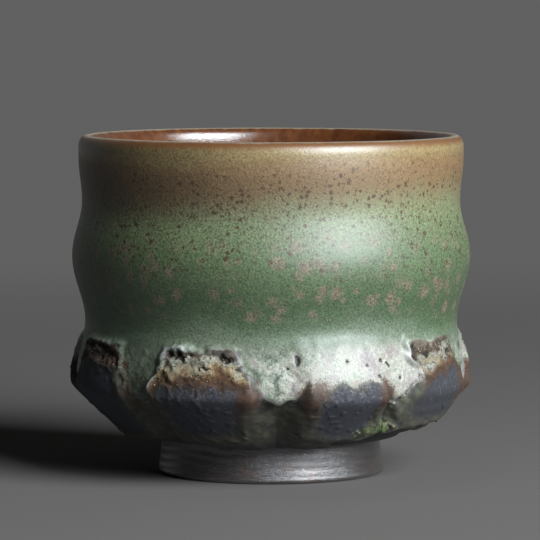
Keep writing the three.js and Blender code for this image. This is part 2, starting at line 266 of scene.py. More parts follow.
# each point takes the traits of the facet it lies deepest in
def facetTraits():
    b = beltCut
    uneven = 0.6 * wander["broad"] + 0.25 * wander["mid"] + 0.6 * wander["huge"]
    traits, lap = {}, np.zeros(turns.shape)
    for i in facets:
        left, right = facetSpan(i, down)
        half = (right - left) / 2
        offset = turnFrom((left + right) / 2)
        across = offset / half
        side = (half - np.abs(offset)) * arc
        for facet, sideways, biteDown, biteHalf, biteDepth in b["bites"]:
            if facet == i:
                bite = biteDepth * np.exp(-((down - biteDown) / biteHalf) ** 2)
                side = side - bite * smoothStep(0, 0.5, across * sideways)
                lap = np.maximum(lap, bite * smoothStep(0.2, 0.6, across * sideways) * (np.abs(across) < 2))
        inside = softMin(softMin(side, down - tops[i], 1.8), b["toe"][i] - down, 2.6)
        inside = inside + uneven
        shut = smoothStep(0.6, 0.9, b["fill"][i])          # glaze closed over it, so its brow melted away
        toeThick = b["toeThick"][i]
        standing = np.interp(down, [tops[i] - 3.5 * shut, 4.5, ridgeDown, 12, b["toe"][i]],
                             [b["brow"] - 0.85 * shut, 2.15 - 0.3 * shut, b["ridge"],
                              b["ridge"] - 0.1 + (toeThick - 2.4) * 0.5, toeThick])
        rustMiddle, rustLeft, rustRight = b["rust"][i]
        borderDarkLeft, borderDarkRight = b["borderDark"][i]
        lipLeft, lipRight, lipDown = b["rim"][i]
        own = dict(
            inside=inside, edge=b["edge"][i] + b["tilt"][i] * across + b["arch"][i] * across ** 2,
            body=standing * (1 + 0.1 * stray(i, 3)) - b["crown"] * across ** 2 + 0.3,
            melt=np.where(across < 0, *b["toeSoft"][i]),
            fill=b["fill"][i], white=b["whiteness"][i], frosty=b["frost"][i], burnt=b["burn"][i],
            rusty=rustMiddle + np.where(across < 0, rustLeft, rustRight) * across ** 2,
            borderDarkness=borderDarkLeft + (borderDarkRight - borderDarkLeft) * smoothStep(-0.5, 0.5, across),
            lipped=lipLeft + (lipRight - lipLeft) * smoothStep(-0.7, 0.7, across), lipDown=lipDown)
        here = inside > traits.get("inside", -9.0)
        traits = {key: np.where(here, value, traits.get(key, -9.0 if key == "inside" else 0.0))
                  for key, value in own.items()}
    return traits, lap


# and of the valley it lies nearest to
def valleyTraits():
    traits, pool, swell = {}, np.full(turns.shape, -4.0), np.zeros(turns.shape)
    for i in facets:
        left, right = valleySpan(i, down)
        offset = turnFrom((left + right) / 2) * arc
        own = dict(side=offset, half=(right - left) / 2 * arc, drop=drops[i], white=beltCut["tongueWhite"][i])
        here = np.abs(offset) < np.abs(traits.get("side", 999.0))
        traits = {key: np.where(here, value, traits.get(key, 0.0)) for key, value in own.items()}
        for valley, beadSide, beadDown, radius, height in beltCut["beads"]:
            if valley == i:
                spread = np.hypot(offset - beadSide, down - beadDown) / radius
                swell = swell + height * np.exp(-1.3 * spread ** 2)
                pool = np.maximum(pool, radius * (1 - spread))
    return traits, pool, swell


# how thick clay and glaze stand on the profile, and how far each finish reaches (mm, positive inside)
def beltField():
    b = beltCut
    huge, broad, mid, fine = wander.values()
    facet, lap = facetTraits()
    gap, pool, swell = valleyTraits()
    inside, edge, fill = facet["inside"], facet["edge"], facet["fill"]

    fallen = np.clip((down - 4.5) / (gap["drop"] - 4.5), 0, 1)
    tongueHalf = (gap["half"] + 1.2 + lap) * (1 - fallen ** 1.7) + np.clip(4.5 - down, 0, 99) * 4
    tongue = np.minimum((tongueHalf - np.abs(gap["side"])) * 0.8, gap["drop"] - down)
    tongue = tongue + 0.45 * mid + 0.4 * broad
    tongueThick = np.interp(down, [-4, 0, 3, 7, 10],
                            [0.7, 0.75, 1.05, b["tongueSwell"] - 0.05, b["tongueSwell"]])
    film = np.interp(down, [6, 14, 21, 24, 25.2], [b["film"] + 0.1, b["film"], b["film"] - 0.05, 0.12, 0.0])
    valley = film + (tongueThick - film) * smoothStep(-0.35, 0.9, tongue)

    gentle = smoothStep(0.6, 0.9, fill) * smoothStep(6, 3, down)
    slack = np.interp(down, [5, 11, 16], [1.3, 3.0, 4.2])  # the facets' flanks soften below the ridge
    slack *= 1 + (facet["melt"] - 1) * smoothStep(4, 9, down)
    slack += 3.0 * gentle                                  # and where glaze closed over the top
    thick = valley + (facet["body"] - valley) * smoothStep(-slack, 0.4 + slack / 8, inside)

    upper = edge + 1.2 * huge + 0.75 * broad + 0.25 * fine - down
    brink = edge + 0.5 * huge - down                       # the same line, without its finer wander
    closed = (fill - 0.5) * 4 + 1.3 * huge + 0.5 * mid     # pale glaze over the facet's crust
    filled = smoothStep(-0.5, 0.5, closed)
    core = smoothStep(0.0, 0.9 + 2.4 * gentle, inside)
    thick += 0.36 * core * smoothStep(-1.1, 0.7, brink) * (1 - 0.6 * filled)
    thick -= 0.3 * smoothStep(0.0, 2.5, -brink) * smoothStep(0.4, 3.0, inside)
    fold = 0.26 - np.abs(lumps(clay * (1, 1, 1.4), 4.6, 9.3))         # ledges that wander over the crust
    relief = 0.75 * np.clip(fold, -0.2, 0.26) + 0.28 * broad + 0.18 * mid + 0.13 * fine
    thick += core * smoothStep(-0.1, 0.5, upper) * (1 - filled) * (relief - 0.25)

    rim = np.exp(-((inside + 0.15) / 0.55) ** 2) * smoothStep(-1.5, 0.5, upper) * (1 - 0.95 * filled)
    rim *= facet["lipped"] * (1 - 0.7 * smoothStep(facet["lipDown"] - 1.2, facet["lipDown"] + 1.2, down))
    thick += 0.55 * rim * np.clip(0.65 + 0.9 * huge, 0, 1.4) * smoothStep(-2, 0, down)
    # a hollow just under the facet's brow; the shader paints shade into it and into the blisters and pinholes
    pit = np.exp(-((inside - 0.9) / 0.5) ** 2) * smoothStep(-0.1, 0.3, huge + 0.5 * mid)
    pit *= smoothStep(6.5, 3.0, down) * (1 - filled) * smoothStep(0, 0.6, down) * 0.7
    thick -= 0.9 * pit

    thick += 0.14 * smoothStep(0.25, 0.6, mid) * core * (1 - smoothStep(-0.3, 0.3, upper)) + swell
    lipEnd = marks["lipEnd"]
    thick += 0.12 * lumps(clay, 13.0, 5.0) * smoothStep(26, 22, down) * smoothStep(lipEnd - 4.5, lipEnd, down)
    thick += 0.08 * (fine + mid) * smoothStep(-0.2, 0.6, tongue) * smoothStep(0, 2, down) * (1 - core)
    outer = downs > lipEnd
    for holeTurn, holeLevel, halfWide, halfHigh, depth in b["blisters"] + b["pinholes"]:
        holeDown = np.interp(-holeLevel, -levels[outer], downs[outer])
        ragged = (0.9 * mid + 0.5 * fine) * min(1.0, halfWide)
        sideways = (turnFrom(holeTurn) * arc + ragged) / halfWide
        hole = np.exp(-sideways ** 2 - ((down - holeDown + ragged) / halfHigh) ** 2)
        thick -= depth * hole
        pit = np.maximum(pit, hole)

    between = np.minimum(0.3 - inside, tongue)
    over = np.minimum(np.minimum(np.maximum(inside, tongue + 0.4), upper), closed)
    beside = np.exp(-((inside + 1.5) / 1.3) ** 2) * smoothStep(0.5, 4.0, down) * (1 - filled)
    scorchLine = facet["borderDarkness"] * np.exp(-((inside - 0.2) / np.where(inside < 0.2, 1.3, 0.6)) ** 2)
    scorchLine *= smoothStep(-4.5, -2.0, upper) * np.clip(0.8 + 0.8 * mid, 0, 1.2)
    scorchLine *= smoothStep(-0.4, 0.8, down)
    rimLine = rim * np.clip(0.65 + 0.9 * huge, 0, 1.2) * smoothStep(-0.6, 0.4, down)
    paleGain = (gap["white"] + (facet["white"] - gap["white"]) * core) * smoothStep(-4, 3, down)
    reach = dict(
        paleReach=np.where(down < -1, 4.0, np.maximum(between, over)),
        ironReach=np.minimum(inside - 0.25, -upper),
        crustReach=np.minimum(np.minimum(inside - 0.2, upper), -closed),
        faceReach=inside, poolReach=pool, bareReach=down - 23.4, pitDepth=pit * 4,
        crustRise=upper / 2, crustRelief=relief * 4, burnShare=facet["burnt"],
        paleGain=paleGain - 0.2 * facet["borderDarkness"] * beside,
        rustShare=np.clip(facet["rusty"] + 0.5 * huge, 0, 1),
        frostShare=np.clip(facet["frosty"] + 0.35 * huge, 0, 1) * smoothStep(3.2, 0.2, -upper),
        scorchLine=scorchLine, rimLine=rimLine * np.clip(1 + 3 * facet["white"], 0.3, 1.2),
        # painted light and shade round the cup, handed on to the shader
        bandShift=roundCup(b["greenDip"]), flameShare=roundCup(b["paintedSideLight"]),
        crestGap=down - downs[np.argmax(levels)])
    return thick, {key: np.clip(value, -4, 4) for key, value in reach.items()}


thick, reach = beltField()
skin = clay + away * thick[..., None]
skinNormals = unit(np.cross(np.gradient(skin, axis=0), np.roll(skin, -1, 1) - np.roll(skin, 1, 1)))

allRows = np.arange(len(rowDowns))
beltRows = allRows[beltRow:toeRow + 1]
millimetre = 0.001

# faces nobody sees: how far they lie over the clay, and how many of their rows are kept
hidden = dict(coatLift=0.05, coatSkip=12, beltLift=-0.1, wallLift=-0.3, wallSkip=12,
              innerSkip=4, innerSink=0.8, innerTuck=(0.9, -0.4))      # its topmost ring tucks under the lip


def facetCols(i):
    return np.arange(i * span, i * span + skinGrid["facetCells"] + 1) % columns


def valleyCols(i):
    return np.arange(i * span + skinGrid["facetCells"], (i + 1) * span + 1) % columns


def linkObject(name, data):
    thing = bpy.data.objects.new(name, data)
    bpy.context.collection.objects.link(thing)
    return thing


def addValues(mesh, values):
    for key, value in values.items():
        layer = mesh.attributes.new(key, "FLOAT", "POINT")
        layer.data.foreach_set("value", np.asarray(value, np.float32))


# a mesh from quads, with the skin's own normals on the faces that show so neighbours meet without a crease
def buildPiece(name, points, quads, shown, normals, values, caps=np.zeros((0, 3), int)):
    mesh = bpy.data.meshes.new(name)
    mesh.from_pydata((points * millimetre).tolist(), [], quads.tolist() + caps.tolist())
    mesh.update()
    corner = points[quads]
    flat = unit(np.cross(corner[:, 2] - corner[:, 0], corner[:, 3] - corner[:, 1]))
    loops = np.where(shown[:, None, None], normals[quads], flat[:, None, :]).reshape(-1, 3)
    corner = points[caps]
    flat = unit(np.cross(corner[:, 1] - corner[:, 0], corner[:, 2] - corner[:, 0]))
    loops = np.concatenate([loops, np.repeat(flat, 3, 0)])
    addValues(mesh, values)
    mesh.shade_smooth()
    mesh.normals_split_custom_set(loops.tolist())
    return linkObject(name, mesh)


def gridQuads(rows, cols, start=0, wrap=False):
    r, c = np.meshgrid(np.arange(rows - 1), np.arange(cols if wrap else cols - 1), indexing="ij")
    right = (c + 1) % cols
    corners = [r * cols + c, (r + 1) * cols + c, (r + 1) * cols + right, r * cols + right]
    return np.stack(corners, -1).reshape(-1, 4) + start


# a closed slab cut out of the skin: its front is the skin, its back follows the clay
def slabPiece(name, rows, behind, cols, lift, wrap=False):
    front, back = np.ix_(rows, cols), np.ix_(behind, cols)
    wide, size = len(cols), len(rows) * len(cols)
    points = np.concatenate([skin[front].reshape(-1, 3), (clay + away * lift)[back].reshape(-1, 3)])
    frontQuads = gridQuads(len(rows), wide, 0, wrap)
    quads = [frontQuads, gridQuads(len(behind), wide, size, wrap)[:, ::-1]]
    if not wrap:
        left = np.arange(len(rows) - 1) * wide
        right = left + wide - 1
        quads.append(np.stack([left, left + size, left + wide + size, left + wide], 1))
        quads.append(np.stack([right, right + wide, right + wide + size, right + size], 1))
    c = np.arange(wide if wrap else wide - 1)
    beside = (c + 1) % wide
    low, lowBack = size - wide, size + (len(behind) - 1) * wide
    quads.append(np.stack([c, beside, beside + size, c + size], 1))
    quads.append(np.stack([low + c, lowBack + c, lowBack + beside, low + beside], 1))
    quads = np.concatenate(quads)
    shown = np.arange(len(quads)) < len(frontQuads)
    normals = np.concatenate([skinNormals[front].reshape(-1, 3), skinNormals[back].reshape(-1, 3)])
    values = {key: np.concatenate([value[front].ravel(), value[back].ravel()])
              for key, value in reach.items()}
    return buildPiece(name, points, quads, shown, normals, values)


def innerProfile():
    c = cupShape
    shoulder = c["lip"] - c["lipThickness"] / 2 - c["lipSlump"][0]
    wall = [(shoulder, c["mouthRadius"] - c["lipThickness"]), (c["neck"], c["neckRadius"] - c["neckWall"]),
            (c["belly"], c["bellyRadius"] - c["bellyWall"]), (c["waist"], c["waistRadius"] - c["waistWall"])]
    deep = c["waist"] - c["floorLevel"]
    wide = wall[-1][1] - c["floorRadius"]
    t = np.linspace(0, np.pi / 2, 30)[1:]
    bowl = np.stack([c["floorRadius"] + wide * np.cos(t), c["waist"] - deep * np.sin(t)], 1)
    return np.concatenate([wavePath(wall, 0.8), bowl])


# the wall: lip and underside show, the rest lies behind the glaze and the facets
def wallPiece(name):
    h = hidden
    seen = np.zeros(turns.shape, bool)
    seen[:lipRow + 1] = True
    seen[toeRow:] = True
    for i in facets:
        seen[np.ix_(allRows[tongueRows[i]:], valleyCols(i))] = True
    surface = np.where(seen[..., None], skin, clay + away * h["wallLift"])
    firstFine = min(tongueRows) - 2
    rows = np.concatenate([allRows[:lipRow + 2], allRows[lipRow + 8:firstFine:h["wallSkip"]],
                           allRows[firstFine:]])
    inner = innerProfile()[::h["innerSkip"]][::-1]
    inner[-1] += h["innerTuck"]
    inner += (h["innerSink"], -h["innerSink"])
    radius, level = inner[:, :1], inner[:, 1:]
    inside = np.stack([radius * sine[0], -radius * cosine[0], np.repeat(level, columns, 1)], -1)
    stack = np.concatenate([inside, surface[rows]])
    middles = [(0, 0, inner[0, 1]), (0, 0, cupShape["footHeight"])]   # of the inner floor and the underside
    points = np.concatenate([stack.reshape(-1, 3), middles])
    quads = gridQuads(len(stack), columns, 0, True)
    grade = np.concatenate([np.zeros((len(inside), columns), bool), seen[rows]]).ravel()
    normals = np.concatenate([np.zeros((len(inside) * columns, 3)), skinNormals[rows].reshape(-1, 3),
                              np.zeros((2, 3))])
    values = {key: np.concatenate([np.zeros(len(inside) * columns), value[rows].ravel(), [0, 4]])
              for key, value in reach.items()}
    c = np.arange(columns)
    beside = (c + 1) % columns
    low, first = (len(stack) - 1) * columns, len(stack) * columns
    caps = np.concatenate([np.stack([np.full(columns, first), c, beside], 1),
                           np.stack([np.full(columns, first + 1), low + beside, low + c], 1)])
    return buildPiece(name, points, quads, grade[quads].all(1), normals, values, caps)


# shader and geometry trees: a wire is a socket that can be reckoned with
class Wire:
    def __init__(self, tree, socket):
        self.tree, self.socket = tree, socket

    def beside(self, out):                                 # another socket of the same node
        return Wire(self.tree, self.socket.node.outputs[out])

    def __add__(self, other):
        return self.tree.maths("ADD", self, other)

    __radd__ = __add__

    def __sub__(self, other):
        return self.tree.maths("SUBTRACT", self, other)

    def __rsub__(self, other):
        return self.tree.maths("SUBTRACT", other, self)

    def __mul__(self, other):
        return self.tree.maths("MULTIPLY", self, other)

    __rmul__ = __mul__

    def __truediv__(self, other):
        return self.tree.maths("DIVIDE", self, other)

    def __rtruediv__(self, other):
        return self.tree.maths("DIVIDE", other, self)

    def __neg__(self):
        return self.tree.maths("MULTIPLY", self, -1.0)

    def step(self, low, high):                             # 0 at low, 1 at high, eased
        return self.tree.add("ShaderNodeMapRange", dict(interpolation_type="SMOOTHSTEP"),
                             {"Value": self, "From Min": low, "From Max": high})


class Tree:
    def __init__(self, tree):
        self.tree = tree

    def add(self, kind, settings=None, sockets=None, out=0):
        node = self.tree.nodes.new(kind)
        for key, value in (settings or {}).items():
            if key == "stops":
                ramp = node.color_ramp
                while len(ramp.elements) < len(value):
                    ramp.elements.new(0.5)
                for element, (place, colour) in zip(ramp.elements, value):
                    element.position, element.color = place, (*colour, 1)
            else:
                setattr(node, key, value)
        for key, value in (sockets or {}).items():
            if isinstance(value, Wire):
                self.tree.links.new(value.socket, node.inputs[key])
            else:
                node.inputs[key].default_value = value
        return Wire(self, node.outputs[out]) if node.outputs else node

    def maths(self, operation, *terms):
        return self.add("ShaderNodeMath", dict(operation=operation), dict(enumerate(terms)))

    def blend(self, share, a, b):                          # colour a to colour b
        a, b = [(*x, 1) if isinstance(x, tuple) else x for x in (a, b)]
        return self.add("ShaderNodeMix", dict(data_type="RGBA"), {0: share, 6: a, 7: b}, 2)

    def ramp(self, stops, place):
        return self.add("ShaderNodeValToRGB", dict(stops=stops), {0: place})

    def brighten(self, value, colour):
        return self.add("ShaderNodeHueSaturation", {}, {"Value": value, "Color": colour})

    def cloud(self, where, scale, detail=3.0, rough=0.55):
        sockets = {"Vector": where, "Scale": scale, "Detail": detail, "Roughness": rough}
        return self.add("ShaderNodeTexNoise", {}, sockets, "Fac")

    def bump(self, strength, distance, height):
        sockets = {"Strength": strength, "Distance": distance, "Height": height}
        return self.add("ShaderNodeBump", {}, sockets)

    def reading(self, name):
        return self.add("ShaderNodeAttribute", dict(attribute_name=name), {}, "Fac")

    def dots(self, where, scale, small, large, chance, core=0.55, soft=0.02):
        # round spots, one to a cell, in some of the cells
        cell = self.add("ShaderNodeTexVoronoi", {}, {"Vector": where, "Scale": scale}, "Distance")
        draw = self.add("ShaderNodeSeparateColor", {}, {0: cell.beside("Color")}, 0)
        size = draw.beside(1) * (large - small) + small
        return (cell / size).step(1.0, core) * draw.step(1 - chance - soft, 1 - chance + soft)


def newFinish(name):
    material = bpy.data.materials.new(name)
    material.use_nodes = True
    material.node_tree.nodes.clear()
    tree = Tree(material.node_tree)
    where = tree.add("ShaderNodeTexCoord", {}, {}, "Object")
    where = tree.add("ShaderNodeVectorMath", dict(operation="SCALE"), {0: where, "Scale": 1 / millimetre})
    return material, tree, where


def closeFinish(tree, sockets):
    shader = tree.add("ShaderNodeBsdfPrincipled", {}, sockets)
    tree.add("ShaderNodeOutputMaterial", {}, {"Surface": shader})


glazeTones = dict(
    # by level
    bands=[(28.0, (0.2, 0.258, 0.183)), (31.0, (0.163, 0.234, 0.15)), (33.6, (0.095, 0.16, 0.078)),
           (37.0, (0.082, 0.145, 0.064)), (41.0, (0.115, 0.185, 0.085)), (46.0, (0.138, 0.217, 0.1)),
           (51.5, (0.2, 0.262, 0.133)), (53.5, (0.215, 0.245, 0.128)), (55.8, (0.235, 0.212, 0.11)),
           (58.0, (0.24, 0.168, 0.082)), (60.8, (0.262, 0.166, 0.078)), (63.2, (0.33, 0.22, 0.102)),
           (64.9, (0.41, 0.315, 0.148)), (67.3, (0.45, 0.345, 0.165))],
    # from thin to thick
    pale=[(0.3, (0.05, 0.06, 0.035)), (0.4, (0.17, 0.22, 0.165)), (0.5, (0.36, 0.42, 0.345)),
          (0.58, (0.5, 0.53, 0.46)), (0.66, (0.47, 0.47, 0.42)), (0.76, (0.48, 0.5, 0.475))],
    # from the iron's edge up; the dark stops near the top are painted shade under the overhanging brow
    crust=[(0.0, (0.07, 0.034, 0.016)), (1.0, (0.17, 0.1, 0.042)), (1.9, (0.36, 0.265, 0.135)),
           (3.1, (0.43, 0.385, 0.265)), (3.9, (0.3, 0.315, 0.24)), (4.6, (0.44, 0.47, 0.39)),
           (5.3, (0.13, 0.085, 0.05)), (6.2, (0.045, 0.027, 0.017)), (7.2, (0.2, 0.17, 0.12))],
    spot=(0.285, 0.22, 0.165), speck=(0.078, 0.04, 0.012), ash=(0.36, 0.32, 0.33), rim=(0.58, 0.66, 0.63),
    lipRust=(0.22, 0.082, 0.025), lipCream=(0.42, 0.36, 0.27), lipDark=(0.095, 0.03, 0.01),
    lipRed=(0.21, 0.075, 0.023), film=(0.053, 0.05, 0.037), moss=(0.1, 0.11, 0.062),
    # hollow is painted shade for pits, blisters and the hollow under the facets' brows
    char=(0.04, 0.024, 0.015), sand=(0.58, 0.55, 0.46), hollow=(0.03, 0.019, 0.013),
    # toe is painted shade: the iron's darker lower end on the belt's underside
    iron=(0.045, 0.047, 0.062), toe=(0.02, 0.017, 0.014), crystal=(0.37, 0.38, 0.46),
    rust=(0.115, 0.048, 0.017), gold=(0.36, 0.23, 0.085), pool=(0.14, 0.2, 0.075),
    # poolHighlight is a painted highlight on the glass beads
    poolHighlight=(0.34, 0.38, 0.25), clay=(0.022, 0.019, 0.017), clayPale=(0.04, 0.033, 0.028))

# levels between which a trait comes in
glazeLevels = dict(
    lipCalm=(66.0, 62.0), paintedLightLow=(49.0, 55.0), paintedLightHigh=(61.0, 64.5), dip=(44.0, 34.0),
    spotsLow=(33.0, 36.5), spotsHigh=(51.5, 45.5), specksLow=(36.0, 46.0), specksHigh=(59.5, 65.5),
    fineLow=(34.0, 48.0), fineHigh=(58.0, 65.0), pale=(29.0, 24.0), tan=(52.0, 58.0), belt=(31.0, 26.0),
    glassy=(61.5, 64.5), frost=(12.0, 19.0), rust=(13.5, 18.0), toe=(13.0, 8.5))

# cells to a millimetre, smallest and largest radius in a cell, share of the cells, where the soft edge ends
glazeDots = dict(spots=(0.34, 0.28, 0.8, 0.97, 0.3), specks=(0.88, 0.14, 0.54, 0.92),
                 fineSpecks=(1.7, 0.16, 0.52, 0.75), crystals=(1.5, 0.2, 0.6, 0.9, 0.35))


# one recipe for every glazed face, so a run of glaze keeps its colour from piece to piece
def glazeFinish(name):
    tone, at, dot = glazeTones, glazeLevels, glazeDots
    material, t, where = newFinish(name)
    level = t.add("ShaderNodeSeparateXYZ", {}, {0: where}, "Z")
    pale, iron, crust = t.reading("paleReach"), t.reading("ironReach"), t.reading("crustReach")
    pool, bare, pit = t.reading("poolReach"), t.reading("bareReach"), t.reading("pitDepth")
    gain, paintedSideLight, burnt = t.reading("paleGain"), t.reading("flameShare"), t.reading("burnShare")
    rusted, frosted = t.reading("rustShare"), t.reading("frostShare")
    broad, mid = t.cloud(where, 0.11, 2.0), t.cloud(where, 0.6, 4.0)
    fine, grain = t.cloud(where, 2.6, 3.0), t.cloud(where, 2.6, 2.0, 0.7)
    midSway, fineSway, grainSway = mid - 0.5, fine - 0.5, grain - 0.5
    tear = t.add("ShaderNodeTexNoise", {}, {"Vector": where, "Scale": 1.9, "Detail": 4.0}, "Color")
    ragged = t.add("ShaderNodeVectorMath", dict(operation="MULTIPLY_ADD"),
                   {0: tear, 1: (1.3, 1.3, 1.3), 2: where})

    # the coat's bands, with pale spots on the green
    low, high = tone["bands"][0][0], tone["bands"][-1][0]
    sway = (broad - 0.5) * 4.0 + midSway * 2.6 + grainSway * 1.6
    # painted light and shade: the coat is brightened on the right, which faces the lamp, and darkened on the
    # left, and its bands shift with it
    glow = paintedSideLight * level.step(*at["paintedLightLow"]) * (1.0 - level.step(*at["paintedLightHigh"]) * paintedSideLight.step(-0.05, 0.1))
    height = level + sway * level.step(*at["lipCalm"])     # the lip's own bands stay even
    height = height + t.reading("bandShift") * level.step(*at["dip"]) - glow * 4.0
    colour = t.ramp([((z - low) / (high - low), c) for z, c in tone["bands"]], (height - low) / (high - low))
    spots = t.dots(ragged, *dot["spots"]) * height.step(*at["spotsLow"]) * height.step(*at["spotsHigh"])
    spots = spots * t.cloud(where, 0.13, 2.0).step(0.28, 0.48)
    colour = t.blend(spots * (0.25 + fine * 0.9), colour, tone["spot"])

    # pale glaze in the valleys, then iron specks over all of it
    streaks = (t.cloud(where, 0.34, 6.0, 0.66) - 0.5) * (1.3 - gain.step(0.03, 0.13) * 0.6)
    paleTone = t.ramp(tone["pale"], streaks + 0.5 + gain + fineSway * 0.2 + pale.step(3.2, 0.8) * 0.05)
    paleTone = t.blend(t.cloud(where, 0.22, 3.0).step(0.54, 0.64) * 0.75, paleTone, tone["ash"])
    paleShare = (level - gain * 20.0 + midSway * 6.0 + grainSway * 4.0).step(*at["pale"])
    colour = t.blend(paleShare, colour, paleTone)
    dense = height.step(*at["specksLow"]) * (1.0 - height.step(*at["specksHigh"]) * 0.75)
    dense = dense * (0.12 + t.cloud(where, 0.2, 3.0).step(0.38, 0.54) * 0.88)
    specks = t.dots(ragged, *dot["specks"]) * dense
    fineSpecks = t.dots(ragged, *dot["fineSpecks"])
    fineSpecks = fineSpecks * height.step(*at["fineLow"]) * (1.0 - height.step(*at["fineHigh"]) * 0.6)
    colour = t.blend(specks * (0.5 + fine * 0.9), colour, tone["speck"])
    colour = t.blend(fineSpecks * (0.35 + fine * 0.9), colour, tone["speck"])
    # grain lightens and darkens at random; glow adds the painted light and shade
    grit = grainSway * (2.8 - level.step(*at["tan"]) * 1.3 - level.step(*at["belt"]) * 0.9)
    colour = t.brighten(grit + 1.0 + glow, colour)

    # the lip, from rust over a cream line to the dark inner edge, and the white lips of the facets
    crest = t.reading("crestGap") + midSway * 0.45
    colour = t.blend(crest.step(1.9, 0.8) * (0.55 + fine * 0.6), colour, tone["lipRust"])
    innerTone = t.blend(mid.step(0.2, 0.8), tone["lipDark"], tone["lipRed"])
    colour = t.blend(crest.step(-0.3, -0.7), colour, innerTone)
    colour = t.blend(crest.step(0.6, 0.3) * crest.step(-0.6, -0.3), colour, tone["lipCream"])
    colour = t.blend(t.reading("rimLine") * (0.35 + fine * 1.0), colour, tone["rim"])
    film = t.blend(mid.step(0.45, 0.65), tone["film"], tone["moss"])
    shade = t.blend((pale + fineSway * 2.4 + midSway * 1.6).step(-0.4, 0.4), film, colour)

    # crust on the facets, with a dark line along their sides
    rise = t.reading("crustRise") * 2.0 + (t.cloud(ragged, 0.4, 6.0, 0.64) - 0.5) * 5.0
    rise = rise + fineSway * 1.8 + t.reading("crustRelief") * 0.7
    # painted shade: near the top, just under the brow, the ramp turns dark
    crustTone = t.ramp([(z / 8.0, c) for z, c in tone["crust"]], rise / 8.0)
    crustTone = t.brighten(grainSway * 2.6 + 1.0, crustTone)
    crustTone = t.blend(grain.step(0.56, 0.72) * 0.35, crustTone, tone["sand"])
    crustTone = t.blend(burnt * 0.75, crustTone, tone["char"])
    shade = t.blend((crust + fineSway * 0.9).step(-0.2, 0.25), shade, crustTone)
    # a dark line along the facet's borders, which also darkens the pale glaze just beside them
    shade = t.blend((t.reading("scorchLine") + fineSway * 0.9).step(0.3, 0.7) * 0.85, shade, tone["char"])

    # the smooth iron face below it, with crystals, gold and rust along its edge, and painted shade towards
    # its lower end
    ironEdge = iron + fineSway * 1.4 + midSway * 2.2
    flank = t.reading("faceReach") + fineSway * 1.4 + midSway * 2.2
    above = level.step(*at["rust"])
    glint = t.cloud(where, 1.5, 5.0, 0.78)
    crystals = glint.step(0.47, 0.56) * 0.6 + t.dots(ragged, *dot["crystals"]) * 0.9
    frost = glint.step(0.52, 0.7) * level.step(*at["frost"]) * 0.32 + frosted * crystals
    # painted shade: the iron darkens towards the facet's lower end, which faces down; facets with a middling
    # burn darken all over
    toe = level.step(*at["toe"]) * 0.7 + burnt.step(0.25, 0.4) * burnt.step(1.2, 0.6) * 0.4
    ironTone = t.blend(frost, t.blend(toe, tone["iron"], tone["toe"]), tone["crystal"])
    gold = ironEdge.step(-2.6, -0.6) * ironEdge.step(0.3, -0.4) * mid.step(0.4, 0.62)
    shade = t.blend(gold * above * rusted * flank.step(0.6, 2.4), shade, tone["gold"])
    rusty = (rusted * 1.3 + grainSway * 1.8 + midSway * 0.8).step(0.35, 0.7) * (0.15 + above * 0.85)
    rustTone = t.blend((mid * 0.4 + grain * 0.6).step(0.4, 0.58), tone["char"], tone["rust"])
    shade = t.blend((ironEdge + grainSway * 4.0).step(-2.2, -0.9) * rusty, shade, rustTone)
    smooth = (ironEdge + grainSway * 3.0).step(0.1, 1.3) * (flank - rusted * 1.8).step(0.0, 2.4)
    shade = t.blend(smooth, shade, ironTone)

    # glass beads with painted highlights, pits and hollows with painted shade, and the bare clay underneath
    # painted highlight: pale patches on the glass beads
    poolWithHighlight = t.blend(mid.step(0.48, 0.6), tone["pool"], tone["poolHighlight"])
    poolWithHighlight = t.blend(t.cloud(where, 1.1, 2.0).step(0.44, 0.58), tone["film"], poolWithHighlight)
    shade = t.blend((pool + fineSway * 2.0).step(-0.1, 0.6), shade, poolWithHighlight)
    # painted shade: pits and hollows darkened
    shade = t.blend((pit + fineSway * 1.6).step(0.8, 2.0), shade, tone["hollow"])
    clayTone = t.blend(fine, tone["clay"], tone["clayPale"])
    shade = t.blend((bare + midSway * 5.0).step(-2.0, 0.8), shade, clayTone)

    within = crest.step(-0.35, -0.8)
    glassy = level.step(*at["glassy"])                     # the ochre under the lip melted glassier
    thin = pale.step(-0.2, -1.2)
    rough = 0.53 + grainSway * 0.12 - glassy * 0.14 + (crust + 0.2).step(0.0, 0.4) * 0.3
    rough = rough + iron.step(-1.8, 0.0) * 0.12 + thin * 0.2 + bare.step(-1.0, 0.5) * 0.12
    rough = rough - pool.step(0.0, 0.5) * 0.5 - within * 0.28
    coat = 0.4 + glassy * 0.25 + within * 0.3 - iron.step(-0.2, 0.8) * 0.35
    coat = coat - crust.step(-0.2, 0.4) * 0.3 - level.step(*at["belt"]) * 0.2 - thin * 0.15
    bump = t.bump(0.4, 0.00014, fine * 0.5 + grain * 0.5)
    closeFinish(t, {"Base Color": shade, "Roughness": rough, "Normal": bump, "IOR": 1.92,
                    "Specular Tint": (0.83, 0.93, 1.0, 1), "Coat Weight": coat, "Coat Roughness": 0.42})
    return material


linerTones = dict(brown=[(0.3, (0.05, 0.014, 0.005)), (0.5, (0.13, 0.04, 0.012)), (0.7, (0.25, 0.1, 0.035))],
                  speck=(0.03, 0.014, 0.007), paler=(56.0, 62.5))     # the levels where it grows paler


